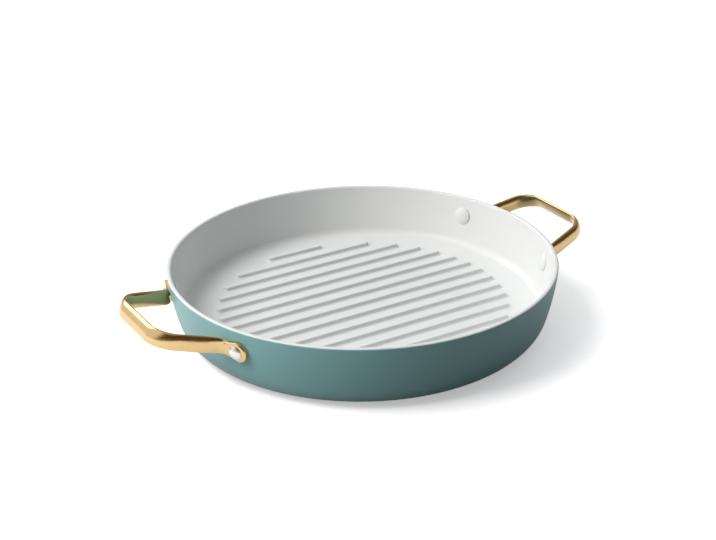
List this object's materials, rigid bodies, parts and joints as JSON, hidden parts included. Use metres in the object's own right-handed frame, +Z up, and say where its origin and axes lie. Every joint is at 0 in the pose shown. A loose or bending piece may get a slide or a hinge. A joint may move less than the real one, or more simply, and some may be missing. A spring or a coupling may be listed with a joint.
{
  "type": "grill pan",
  "caption": "Round low-walled grill pan with a ridged cooking floor, ceramic-coated inside and out, and riveted gold-toned loop handles on opposite sides.",
  "frame": {"origin": "centre of the pan on the surface that it stands on", "axes": "+Z up out of the pan, +X towards the right handle and along the ridges, +Y across the ridges towards the rear"},
  "size_m": [0.3572, 0.2798, 0.0516],
  "materials": {
    "coated_body": "matte ceramic coating, teal outside and off-white inside",
    "handle_metal": "polished, gold-toned",
    "rivet_metal": "satin, the inner heads coated off-white"
  },
  "bodies": {
    "root": {"pan_body": "coated_body", "handle_right": "handle_metal", "handle_left": "handle_metal", "rivet_right_rear": "rivet_metal", "rivet_right_front": "rivet_metal", "rivet_left_rear": "rivet_metal", "rivet_left_front": "rivet_metal"}
  },
  "joints": []
}
